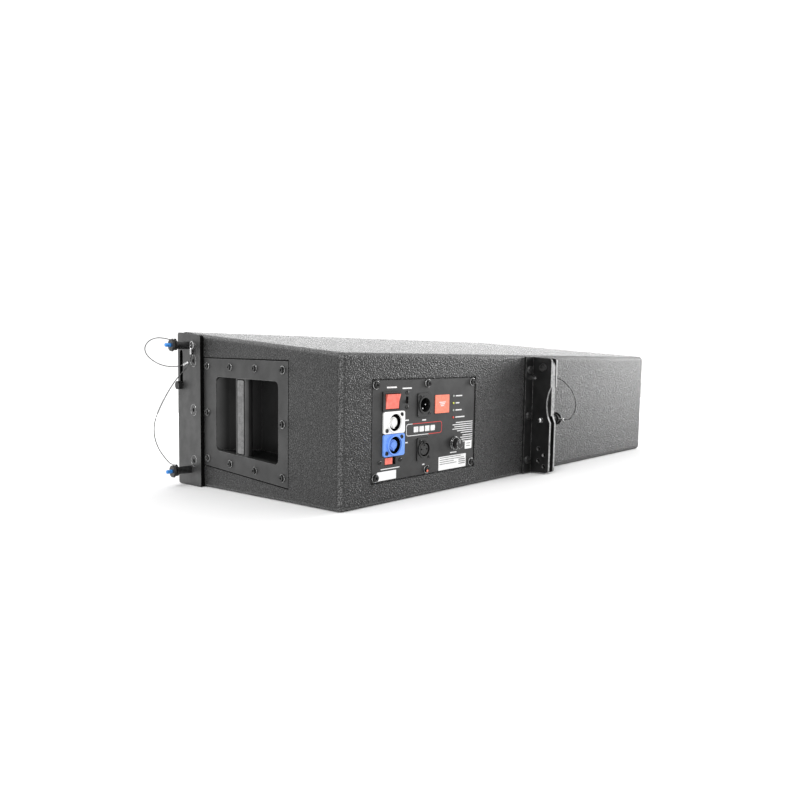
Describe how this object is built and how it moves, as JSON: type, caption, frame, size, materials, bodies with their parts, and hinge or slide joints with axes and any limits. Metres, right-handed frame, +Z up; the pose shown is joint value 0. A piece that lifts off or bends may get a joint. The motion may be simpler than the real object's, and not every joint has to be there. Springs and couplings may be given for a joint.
{
  "type": "line array speaker",
  "caption": "Powered line array speaker: wedge-shaped textured cabinet with pocket handles, rigging plates, ball-lock pins on wire lanyards, rear bracket and amplifier panel.",
  "frame": {"origin": "middle of the flat underside", "axes": "+X across the cabinet's width towards the amplifier's end, +Y from the grille to the rear, +Z up; the front and rear faces lean by half the wedge, 4 degrees"},
  "size_m": [0.9174, 0.4744, 0.2474],
  "materials": {
    "textured_paint": "coarse textured coating on plywood",
    "baffle_paint": "painted plywood",
    "plywood": "raw birch plywood",
    "grille_steel": "powder coated",
    "foam": "open-cell foam",
    "black_steel": "satin black",
    "magnet": "coated",
    "horn_plastic": "moulded",
    "cone_paper": "coated paper",
    "rubber": "matte",
    "handle_paint": "fine textured grey-black",
    "plate_paint": "satin grey-black",
    "wire_rope": "stranded steel",
    "bright_steel": "bright",
    "bolt_steel": "blackened",
    "screw_black": "blackened, worn bright",
    "pin_steel": "blackened",
    "button_blue": "anodised blue",
    "panel_paint": "fine satin",
    "circuit_board": "solder mask",
    "black_plastic": "moulded",
    "rocker_red": "translucent red",
    "socket_white": "moulded",
    "socket_blue": "moulded",
    "lamp": "clear lens"
  },
  "bodies": {
    "cabinet": {"cabinet_shell": "textured_paint", "front_baffle": "baffle_paint", "internal_braces": "plywood", "front_grille": "grille_steel", "grille_foam": "foam", "woofer_baskets": "black_steel", "woofer_magnets": "magnet", "waveguide_horn": "horn_plastic", "compression_driver": "magnet", "woofer_surround_right": "rubber", "woofer_surround_left": "rubber", "handle_plate_right": "handle_paint", "handle_plate_left": "handle_paint", "handle_bar_right": "handle_paint", "handle_bar_left": "handle_paint", "rigging_plate_right": "plate_paint", "rigging_plate_left": "plate_paint", "lanyard_upper_right": "wire_rope", "lanyard_lower_right": "wire_rope", "lanyard_upper_left": "wire_rope", "lanyard_lower_left": "wire_rope", "lanyard_rear": "wire_rope", "lanyard_rings": "bright_steel", "rear_bracket": "black_steel", "rear_bracket_bolts": "bolt_steel", "amp_panel": "panel_paint", "amp_chassis": "black_steel", "amp_board": "circuit_board", "power_switch_frame": "black_plastic", "power_outlet": "socket_white", "power_inlet": "socket_blue", "signal_out_socket": "black_plastic", "signal_in_socket": "black_plastic", "control_bodies": "black_plastic", "voltage_selector": "black_plastic", "status_lamps": "lamp", "panel_screws": "screw_black", "rigging_bolts": "bolt_steel", "grille_screws": "screw_black", "driver_screws": "screw_black"},
    "woofer_cone_right": {"woofer_cone_right": "cone_paper"},
    "link_bar_right": {"link_bar_right": "black_steel"},
    "pin_upper_right": {"pin_upper_right": "pin_steel"},
    "button_upper_right": {"button_upper_right": "button_blue"},
    "pin_lower_right": {"pin_lower_right": "pin_steel"},
    "button_lower_right": {"button_lower_right": "button_blue"},
    "woofer_cone_left": {"woofer_cone_left": "cone_paper"},
    "link_bar_left": {"link_bar_left": "black_steel"},
    "pin_upper_left": {"pin_upper_left": "pin_steel"},
    "button_upper_left": {"button_upper_left": "button_blue"},
    "pin_lower_left": {"pin_lower_left": "pin_steel"},
    "button_lower_left": {"button_lower_left": "button_blue"},
    "rear_link": {"rear_link_bar": "black_steel"},
    "pin_rear": {"pin_rear": "pin_steel"},
    "button_rear": {"button_rear": "button_blue"},
    "rocker": {"power_rocker": "rocker_red"},
    "lift_lever": {"lift_lever": "black_plastic"},
    "volume_knob": {"volume_knob": "black_plastic"},
    "voltage_slider": {"voltage_slider": "rocker_red"},
    "signal_latch": {"signal_latch": "black_plastic"}
  },
  "joints": [
    {"name": "woofer_right_travel", "type": "slide", "parent": "cabinet", "child": "woofer_cone_right", "axis": [0, -0.9975, 0.0706], "range_m": [-0.0035, 0.0035], "stiffness_N_per_m": 1800},
    {"name": "link_bar_right_lift", "type": "slide", "parent": "cabinet", "child": "link_bar_right", "axis": [0, 0.0706, 0.9975], "range_m": [0, 0.051]},
    {"name": "pin_upper_right_pull", "type": "slide", "parent": "cabinet", "child": "pin_upper_right", "axis": [1, 0, 0], "range_m": [0, 0.022], "deforming": ["lanyard_upper_right"]},
    {"name": "button_upper_right_press", "type": "slide", "parent": "pin_upper_right", "child": "button_upper_right", "axis": [-1, 0, 0], "range_m": [0, 0.003], "stiffness_N_per_m": 300, "springref_m": -0.002},
    {"name": "pin_lower_right_pull", "type": "slide", "parent": "cabinet", "child": "pin_lower_right", "axis": [1, 0, 0], "range_m": [0, 0.022], "deforming": ["lanyard_lower_right"]},
    {"name": "button_lower_right_press", "type": "slide", "parent": "pin_lower_right", "child": "button_lower_right", "axis": [-1, 0, 0], "range_m": [0, 0.003], "stiffness_N_per_m": 300, "springref_m": -0.002},
    {"name": "woofer_left_travel", "type": "slide", "parent": "cabinet", "child": "woofer_cone_left", "axis": [0, -0.9975, 0.0706], "range_m": [-0.0035, 0.0035], "stiffness_N_per_m": 1800},
    {"name": "link_bar_left_lift", "type": "slide", "parent": "cabinet", "child": "link_bar_left", "axis": [0, 0.0706, 0.9975], "range_m": [0, 0.051]},
    {"name": "pin_upper_left_pull", "type": "slide", "parent": "cabinet", "child": "pin_upper_left", "axis": [-1, 0, 0], "range_m": [0, 0.022], "deforming": ["lanyard_upper_left"]},
    {"name": "button_upper_left_press", "type": "slide", "parent": "pin_upper_left", "child": "button_upper_left", "axis": [1, 0, 0], "range_m": [0, 0.003], "stiffness_N_per_m": 300, "springref_m": -0.002},
    {"name": "pin_lower_left_pull", "type": "slide", "parent": "cabinet", "child": "pin_lower_left", "axis": [-1, 0, 0], "range_m": [0, 0.022], "deforming": ["lanyard_lower_left"]},
    {"name": "button_lower_left_press", "type": "slide", "parent": "pin_lower_left", "child": "button_lower_left", "axis": [1, 0, 0], "range_m": [0, 0.003], "stiffness_N_per_m": 300, "springref_m": -0.002},
    {"name": "rear_link_swing", "type": "hinge", "parent": "cabinet", "child": "rear_link", "pos_m": [0, 0.23952, 0.16902], "axis": [1, 0, 0], "range_deg": [0, 170]},
    {"name": "pin_rear_pull", "type": "slide", "parent": "cabinet", "child": "pin_rear", "axis": [-1, 0, 0], "range_m": [0, 0.025], "deforming": ["lanyard_rear"]},
    {"name": "button_rear_press", "type": "slide", "parent": "pin_rear", "child": "button_rear", "axis": [1, 0, 0], "range_m": [0, 0.003], "stiffness_N_per_m": 300, "springref_m": -0.002},
    {"name": "power_rocker_tilt", "type": "hinge", "parent": "cabinet", "child": "rocker", "pos_m": [0.3163, 0.21306, 0.12939], "axis": [1, 0, 0], "range_deg": [0, 12]},
    {"name": "lift_lever_slide", "type": "slide", "parent": "cabinet", "child": "lift_lever", "axis": [0, 0.0706, 0.9975], "range_m": [0, 0.004]},
    {"name": "volume_turn", "type": "hinge", "parent": "cabinet", "child": "volume_knob", "pos_m": [0.1937, 0.20914, 0.06541], "axis": [0, 0.9975, -0.0706], "range_deg": [-150, 150]},
    {"name": "voltage_slide", "type": "slide", "parent": "cabinet", "child": "voltage_slider", "axis": [-1, 0, 0], "range_m": [0, 0.0036]},
    {"name": "signal_latch_press", "type": "slide", "parent": "cabinet", "child": "signal_latch", "axis": [0, -0.9975, 0.0706], "range_m": [0, 0.0018], "stiffness_N_per_m": 400, "springref_m": -0.001}
  ]
}
